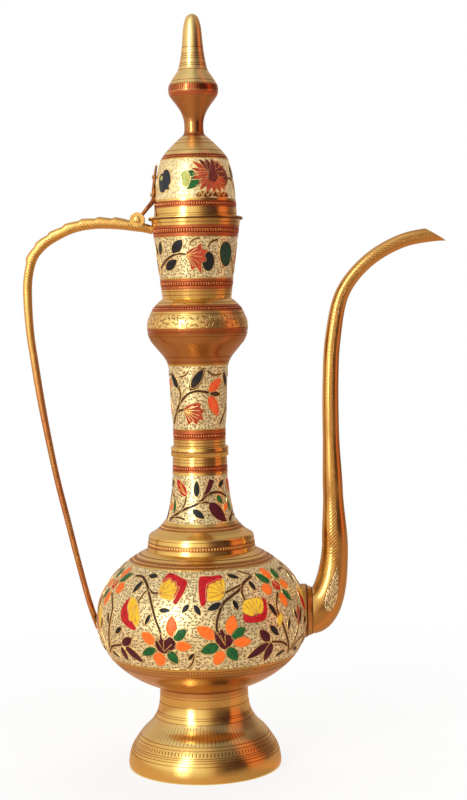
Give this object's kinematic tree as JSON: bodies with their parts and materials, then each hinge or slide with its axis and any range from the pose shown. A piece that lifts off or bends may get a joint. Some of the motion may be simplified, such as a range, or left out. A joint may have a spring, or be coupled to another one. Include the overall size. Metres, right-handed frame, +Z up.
{
  "type": "ewer",
  "caption": "Tall brass pouring jug with a bell foot, round belly, slender neck with a bulb, curved spout, long handle and hinged domed lid, with enamelled floral bands.",
  "frame": {"origin": "on the table plane, under the middle of the whole ewer's box", "axes": "+Z up along the ewer's axis, +X towards the spout, so the handle is at -X"},
  "size_m": [0.2856, 0.145, 0.508],
  "materials": {
    "polished_brass": "polished, with fine turning lines",
    "chased_brass": "chased, with dark compound in the cuts",
    "lacquered_brass": "red-brown lacquer cut through to bright brass",
    "enamelled_brass": "chased ground with coloured enamel flowers and leaves"
  },
  "bodies": {
    "vessel": {"foot": "polished_brass", "body_lower": "enamelled_brass", "body_upper": "enamelled_brass", "shoulder_collar": "polished_brass", "neck_lower": "enamelled_brass", "neck_ring": "polished_brass", "neck_upper": "enamelled_brass", "bulb_lower": "polished_brass", "bulb_upper": "lacquered_brass", "cup": "enamelled_brass", "cup_rim": "polished_brass", "spout_flange": "polished_brass", "spout_near_half": "chased_brass", "spout_far_half": "chased_brass", "handle": "chased_brass", "hinge_pin": "polished_brass"},
    "lid": {"lid_dome": "enamelled_brass", "lid_sleeve": "polished_brass", "hinge_strap": "chased_brass", "strap_rivet_lower": "polished_brass", "strap_rivet_upper": "polished_brass", "finial": "polished_brass", "finial_washer": "polished_brass", "finial_nut": "polished_brass"}
  },
  "joints": [
    {"name": "lid_hinge", "type": "hinge", "parent": "vessel", "child": "lid", "pos_m": [-0.06453, 0, 0.3718], "axis": [0, -1, 0], "range_deg": [0, 100]}
  ]
}
